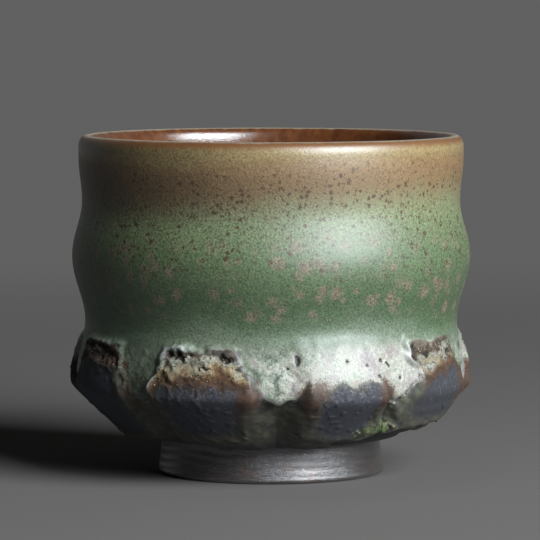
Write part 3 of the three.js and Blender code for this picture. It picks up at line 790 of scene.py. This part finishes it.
def linerFinish(name):
    material, t, where = newFinish(name)
    level = t.add("ShaderNodeSeparateXYZ", {}, {0: where}, "Z")
    mid, fine = t.cloud(where, 0.35, 5.0), t.cloud(where, 2.5, 3.0)
    tone = t.ramp(linerTones["brown"], mid + level.step(*linerTones["paler"]) * 0.12)
    tone = t.blend(t.dots(where, 0.6, 0.1, 0.3, 0.35) * 0.8, tone, linerTones["speck"])
    closeFinish(t, {"Base Color": tone, "Roughness": 0.14 + mid * 0.14, "Normal": t.bump(0.15, 0.0001, fine),
                    "IOR": 1.75, "Coat Weight": 0.5, "Coat Roughness": 0.05})
    return material


footTones = dict(dark=(0.05, 0.044, 0.041), light=(0.088, 0.079, 0.074), rust=(0.12, 0.068, 0.047),
                 pit=(0.012, 0.01, 0.009), grain=(0.4, 0.34, 0.26), stretch=(0.45, 0.45, 2.4))


def footFinish(name):
    f = footTones
    material, t, where = newFinish(name)
    mid, fine = t.cloud(where, 0.25, 4.0), t.cloud(where, 2.2, 4.0, 0.7)
    stretched = t.add("ShaderNodeVectorMath", dict(operation="MULTIPLY"), {0: where, 1: f["stretch"]})
    streak = t.cloud(stretched, 1.0, 5.0, 0.7)
    tone = t.blend(streak.step(0.35, 0.65), f["dark"], f["light"])
    tone = t.blend(mid.step(0.5, 0.7) * 0.7, tone, f["rust"])
    tone = t.blend(t.dots(where, 0.7, 0.08, 0.26, 0.3) * 0.7, tone, f["pit"])
    tone = t.blend(t.dots(where, 0.45, 0.06, 0.16, 0.2) * 0.8, tone, f["grain"])
    bump = t.bump(0.8, 0.0003, streak * 0.35 + fine * 0.65)
    closeFinish(t, {"Base Color": tone, "Roughness": 0.13 + fine * 0.2, "Normal": bump, "IOR": 2.3,
                    "Specular Tint": (0.86, 0.92, 1.0, 1), "Coat Weight": 1.0, "Coat Roughness": 0.25})
    return material


gritTones = [(0.4, (0.05, 0.028, 0.014)), (0.5, (0.24, 0.17, 0.09)), (0.6, (0.42, 0.4, 0.32))]


def gritFinish(name):
    material, t, where = newFinish(name)
    mix = t.cloud(where, 0.9, 2.0)
    closeFinish(t, {"Base Color": t.ramp(gritTones, mix), "Roughness": 0.25 + mix * 0.3, "IOR": 1.55})
    return material


def openGroup(name, inputs):
    group = bpy.data.node_groups.new(name, "GeometryNodeTree")
    for label, kind in inputs.items():
        group.interface.new_socket(label, in_out="INPUT", socket_type="NodeSocket" + kind)
    group.interface.new_socket("Geometry", in_out="OUTPUT", socket_type="NodeSocketGeometry")
    t = Tree(group)
    entry = t.add("NodeGroupInput")
    return group, t, {label: entry.beside(label) for label in inputs}


# turned forms: a profile of points, swung round the axis, with tool marks where the profile asks for them
def turnedTree():
    group, t, given = openGroup("turnedForm", {
        "Geometry": "Geometry", "Steps": "Int", "Rows": "Int", "Groove Depth": "Float",
        "Groove Pitch": "Float", "Unevenness": "Float", "Seed": "Float", "Finish": "Material"})
    fullTurn = 2 * math.pi
    driftScale = 60                                        # lumps to a metre
    grid = t.add("GeometryNodeMeshGrid", {}, {"Size X": 1.0, "Size Y": 1.0, "Vertices X": given["Steps"] + 1,
                                              "Vertices Y": given["Rows"]})
    place = t.add("GeometryNodeInputPosition")
    part = t.add("ShaderNodeSeparateXYZ", {}, {0: place}, 0)
    angle = (part + 0.5) * fullTurn
    row = t.maths("ROUND", (part.beside(1) + 0.5) * (given["Rows"] - 1))
    point = t.add("GeometryNodeSampleIndex", dict(data_type="FLOAT_VECTOR", domain="POINT"),
                  {"Geometry": given["Geometry"], "Value": t.add("GeometryNodeInputPosition"), "Index": row})
    marked = t.add("GeometryNodeInputNamedAttribute", dict(data_type="FLOAT"), {"Name": "toolMark"})
    mark = t.add("GeometryNodeSampleIndex", dict(data_type="FLOAT", domain="POINT"),
                 {"Geometry": given["Geometry"], "Value": marked, "Index": row})
    radius = t.add("ShaderNodeSeparateXYZ", {}, {0: point}, 0)
    height = radius.beside(2)
    sine, cosine = t.maths("SINE", angle), t.maths("COSINE", angle)
    spot = t.add("ShaderNodeCombineXYZ", {}, {0: radius * sine * driftScale, 1: radius * cosine * driftScale,
                                              2: height * driftScale + given["Seed"]})
    drift = t.add("ShaderNodeTexNoise", {}, {"Vector": spot, "Scale": 1.0, "Detail": 2.0}, "Fac") - 0.5
    groove = t.maths("SINE", (height / given["Groove Pitch"] + drift * 1.5) * fullTurn)
    wide = radius + mark * (groove * given["Groove Depth"] + drift * given["Unevenness"])
    moved = t.add("ShaderNodeCombineXYZ", {}, {0: wide * sine, 1: -(wide * cosine), 2: height})
    shape = t.add("GeometryNodeSetPosition", {}, {"Geometry": grid, "Position": moved})
    shape = t.add("GeometryNodeMergeByDistance", {}, {"Geometry": shape, "Distance": 0.000002})
    shape = t.add("GeometryNodeSetShadeSmooth", {}, {"Geometry": shape})
    shape = t.add("GeometryNodeRealizeInstances", {}, {"Geometry": shape})
    shape = t.add("GeometryNodeSetMaterial", {}, {"Geometry": shape, "Material": given["Finish"]})
    t.add("NodeGroupOutput", {}, {"Geometry": shape})
    return group


# ash grit: small glassy grains strewn where the crust stands bare
def gritTree():
    group, t, given = openGroup("kilnGrit", {
        "Geometry": "Geometry", "Density": "Float", "Smallest": "Float", "Largest": "Float", "Seed": "Int",
        "Finish": "Material"})
    bareCrust = t.add("GeometryNodeInputNamedAttribute", dict(data_type="FLOAT"), {"Name": "crustReach"})
    density = given["Density"] * bareCrust.step(0.1, 0.8)
    points = t.add("GeometryNodeDistributePointsOnFaces", dict(distribute_method="RANDOM"),
                   {"Mesh": given["Geometry"], "Density": density, "Seed": given["Seed"]})
    grain = t.add("GeometryNodeMeshIcoSphere", {}, {"Radius": 1.0, "Subdivisions": 1})
    place = t.add("GeometryNodeInputPosition")
    dent = t.add("ShaderNodeTexNoise", {}, {"Vector": place, "Scale": 1.3}, "Color")
    dent = t.add("ShaderNodeVectorMath", dict(operation="SUBTRACT"), {0: dent, 1: (0.5, 0.5, 0.5)})
    grain = t.add("GeometryNodeSetPosition", {}, {"Geometry": grain, "Offset": dent})
    size = t.add("FunctionNodeRandomValue", dict(data_type="FLOAT"),
                 {2: given["Smallest"], 3: given["Largest"], 8: given["Seed"]}, 1)
    spin = t.add("FunctionNodeRandomValue", dict(data_type="FLOAT_VECTOR"),
                 {1: (6.28, 6.28, 6.28), 8: given["Seed"]}, 0)
    flatter = t.add("ShaderNodeCombineXYZ", {}, {0: size, 1: size, 2: size * 0.7})
    strewn = t.add("GeometryNodeInstanceOnPoints", {},
                   {"Points": points, "Instance": grain, "Rotation": spin, "Scale": flatter})
    strewn = t.add("GeometryNodeRealizeInstances", {}, {"Geometry": strewn})
    strewn = t.add("GeometryNodeSetShadeSmooth", {}, {"Geometry": strewn})
    strewn = t.add("GeometryNodeSetMaterial", {}, {"Geometry": strewn, "Material": given["Finish"]})
    t.add("NodeGroupOutput", {}, {"Geometry": strewn})
    return group


def applyTree(piece, group, inputs):
    modifier = piece.modifiers.new(group.name, "NODES")
    modifier.node_group = group
    for item in group.interface.items_tree:
        if item.item_type == "SOCKET" and item.in_out == "INPUT" and item.name in inputs:
            modifier[item.identifier] = inputs[item.name]
    piece.update_tag()
    bpy.context.view_layer.update()
    made = bpy.data.meshes.new_from_object(piece.evaluated_get(bpy.context.evaluated_depsgraph_get()))
    piece.modifiers.remove(modifier)
    made.name = piece.name
    piece.data = made
    return piece


def turnedPiece(name, profile, tool, settings, finish):
    mesh = bpy.data.meshes.new(name)
    points = [(radius * millimetre, 0, level * millimetre) for radius, level in profile]
    mesh.from_pydata(points, [(k, k + 1) for k in range(len(points) - 1)], [])
    addValues(mesh, {"toolMark": tool})
    piece = linkObject(name, mesh)
    return applyTree(piece, turnedGroup, {**settings, "Rows": len(points), "Finish": finish})


footCut = dict(radius=22.5, taper=0.7, taperPower=2.2, wall=4.8, edge=0.8, rows=26)
footTurning = {"Steps": 360, "Groove Depth": 0.00002, "Groove Pitch": 0.0016,
               "Unevenness": 0.00045, "Seed": 4.0}


# up the outside of the foot, over its hidden top and down the inside
def footProfile():
    radius, taper, edge = footCut["radius"], footCut["taper"], footCut["edge"]
    inner, top = radius - footCut["wall"], cupShape["footHeight"]
    points = []
    for a in np.linspace(math.pi / 2, 0, 9):
        points.append((radius - edge + edge * math.cos(a), edge - edge * math.sin(a)))
    for t in np.linspace(0, 1, footCut["rows"])[1:]:
        points.append((radius - taper * (1 - (1 - t) ** footCut["taperPower"]), edge + (top - edge) * t))
    points.append((inner + taper, top))
    for t in np.linspace(1, 0, 8)[1:]:
        points.append((inner + taper * t, edge + (top - edge) * t))
    for a in np.linspace(0, math.pi / 2, 7)[1:]:
        points.append((inner + edge - edge * math.cos(a), edge - edge * math.sin(a)))
    points.append(points[0])
    tool = [0.0 if level < 0.02 or level > top - 0.01 else 1.0 for r, level in points]
    return points, tool


linerCut = dict(thick=0.35, backSkip=4, lipBack=0.3,
                tuck=[(0.09, 0.35), (0.015, 0.0)])         # its edge ends behind the lip's skin
linerTurning = {"Steps": 288, "Groove Depth": 0.00003, "Groove Pitch": 0.004,
                "Unevenness": 0.0002, "Seed": 9.0}


# up the hidden back of the liner, over its edge and down its face
def linerProfile():
    face = innerProfile()
    back = face[::linerCut["backSkip"]] + (linerCut["thick"], -linerCut["thick"])
    back[0] = face[0] + (linerCut["thick"], linerCut["lipBack"])
    edge = [face[0] + tuck for tuck in linerCut["tuck"]]
    points = [(0.0, back[-1][1]), *back[::-1], *edge, *face[1:], (0.0, face[-1][1])]
    marked = [float(smoothStep(0, 4, face[0][1] - level)) for radius, level in face[1:]]
    return points, [0.0] * (len(back) + 3) + marked + [0.0]


glazeNames = dict(coat="greenGlaze", facet="ironGlaze", tongue="paleGlaze", wall="lipAndClay")
finishes = {key: glazeFinish(name) for key, name in glazeNames.items()}
footClay, rustGlaze = footFinish("footClay"), linerFinish("rustGlaze")
print("finishes ready")

pieces = []


def hand(piece, finish, slotName, *nodes):
    if finish:
        piece.data.materials.clear()
        piece.data.materials.append(finish)
    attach(piece, "root")
    if nodes:
        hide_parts(*nodes)
    pieces.append(piece)


coatRows = allRows[lipRow:beltRow + 1]
coatBehind = np.union1d(coatRows[::hidden["coatSkip"]], coatRows[-1:])
coat = slabPiece("glazeCoat", coatRows, coatBehind, np.arange(columns), hidden["coatLift"], True)
hand(coat, finishes["coat"], "green_glaze", "outer_glaze_coat")
for i in facets:
    facet = slabPiece(f"beltFacet{i + 1}", beltRows, beltRows, facetCols(i), hidden["beltLift"])
    hand(facet, finishes["facet"], "iron_glaze", f"belt_facet_{i + 1}")
    runRows = allRows[beltRow:tongueRows[i] + 1]
    tongue = slabPiece(f"glazeTongue{i + 1}", runRows, runRows, valleyCols(i), hidden["beltLift"])
    hand(tongue, finishes["tongue"], "pale_glaze", f"glaze_tongue_{i + 1}")
hand(wallPiece("thrownWall"), finishes["wall"], "bare_clay", "thrown_wall")
print("skin pieces made:", len(pieces))

turnedGroup = turnedTree()
footRing = turnedPiece("footRing", *footProfile(), footTurning, footClay)
hand(footRing, None, "foot_clay", "foot_ring")
liner = turnedPiece("innerLiner", *linerProfile(), linerTurning, rustGlaze)
hand(liner, None, "rust_glaze", "inner_glaze_liner")
print("turned pieces made")

gritStrewing = {"Density": 0.6e6, "Smallest": 0.00008, "Largest": 0.00026, "Seed": 3}
gritBed = buildPiece("kilnGrit", skin[beltRows].reshape(-1, 3), gridQuads(len(beltRows), columns, 0, True),
                     np.ones((len(beltRows) - 1) * columns, bool), skinNormals[beltRows].reshape(-1, 3),
                     {"crustReach": reach["crustReach"][beltRows].ravel()})
hand(applyTree(gritBed, gritTree(), {**gritStrewing, "Finish": gritFinish("kilnGrit")}), None, "pale_glaze")
print("grit strewn:", len(gritBed.data.polygons), "faces")

# in metres from here on
studio = dict(
    floor=(0.184, 0.184, 0.184), backdrop=(0.118, 0.118, 0.118),      # as the camera or a mirror sees them
    floorBounce=(0.05, 0.05, 0.05),                        # as the floor lights the cup
    front=-2.5, bend=1.2, bendRadius=0.6, top=3.0, halfWidth=4.0,
    fade=(120.0, 600.0),                                   # millimetres back, where floor turns to backdrop
    lampSize=(0.84, 0.66), lampAway=1.2, lampAim=0.035, keyPower=22.0, keyTurn=44.5, keyRise=27.5,
    fillPower=5.0, fillTurn=180.0, fillRise=24.0, ambient=0.008,
    sensor=36.0, lens=261.6, eye=(-0.0002, -0.780, 0.0986), aim=(-0.0002, 0, 0.0402))


def paperFinish(name):
    s = studio
    material, t, where = newFinish(name)
    depth = t.add("ShaderNodeSeparateXYZ", {}, {0: where}, "Y")
    rays = t.add("ShaderNodeLightPath", {}, {}, "Is Camera Ray")
    seen = rays + rays.beside("Is Glossy Ray") + rays.beside("Is Transmission Ray")
    colour = t.blend(seen, s["floorBounce"], s["floor"])
    paper = t.add("ShaderNodeBsdfPrincipled", {}, {"Base Color": colour, "Roughness": 0.9})
    glow = t.add("ShaderNodeEmission", {}, {"Color": (*s["backdrop"], 1)})
    mixed = t.add("ShaderNodeMixShader", {}, {0: depth.step(*s["fade"]) * seen, 1: paper, 2: glow})
    t.add("ShaderNodeOutputMaterial", {}, {"Surface": mixed})
    return material


# floor and backdrop in one sweep
def buildSweep():
    s = studio
    bend, radius = s["bend"], s["bendRadius"]
    path = [(s["front"], 0.0)]
    for a in np.linspace(0, math.pi / 2, 24):
        path.append((bend + radius * math.sin(a), radius - radius * math.cos(a)))
    path.append((bend + radius, s["top"]))
    verts = [(x, y, z) for y, z in path for x in (-s["halfWidth"], s["halfWidth"])]
    mesh = bpy.data.meshes.new("sweep")
    mesh.from_pydata(verts, [], [(2 * k, 2 * k + 1, 2 * k + 3, 2 * k + 2) for k in range(len(path) - 1)])
    mesh.shade_smooth()
    mesh.materials.append(paperFinish("paper"))
    linkObject("sweep", mesh)


def addLamp(name, turn, rise, power):
    lamp = bpy.data.lights.new(name, "AREA")
    lamp.shape = "RECTANGLE"
    lamp.size, lamp.size_y = studio["lampSize"]
    lamp.energy = power
    thing = linkObject(name, lamp)
    turn, rise = math.radians(turn), math.radians(rise)
    toward = Vector((math.sin(turn) * math.cos(rise), -math.cos(turn) * math.cos(rise), math.sin(rise)))
    thing.location = Vector((0, 0, studio["lampAim"])) + toward * studio["lampAway"]
    thing.rotation_euler = toward.to_track_quat("Z", "Y").to_euler()
    return thing


def lightCup():
    s = studio
    addLamp("softbox", s["keyTurn"], s["keyRise"], s["keyPower"])
    fill = addLamp("backFill", s["fillTurn"], s["fillRise"], s["fillPower"])
    fill.visible_glossy = False
    reached = bpy.data.collections.new("backFillReach")    # the cup alone, so the floor keeps its shadow
    for piece in pieces:
        reached.objects.link(piece)
    fill.light_linking.receiver_collection = reached
    world = bpy.data.worlds.new("studioAir")
    bpy.context.scene.world = world
    world.use_nodes = True
    air = world.node_tree.nodes["Background"]
    air.inputs["Color"].default_value = (1, 1, 1, 1)
    air.inputs["Strength"].default_value = s["ambient"]


def placeCamera():
    s = studio
    view = bpy.data.cameras.new("camera")
    view.sensor_width, view.lens, view.clip_start = s["sensor"], s["lens"], 0.01
    camera = linkObject("camera", view)
    camera.location = s["eye"]
    camera.rotation_euler = (camera.location - Vector(s["aim"])).to_track_quat("Z", "Y").to_euler()
    bpy.context.scene.camera = camera
    bpy.context.scene.view_settings.view_transform = "Standard"


buildSweep()
lightCup()
placeCamera()
print("studio ready")
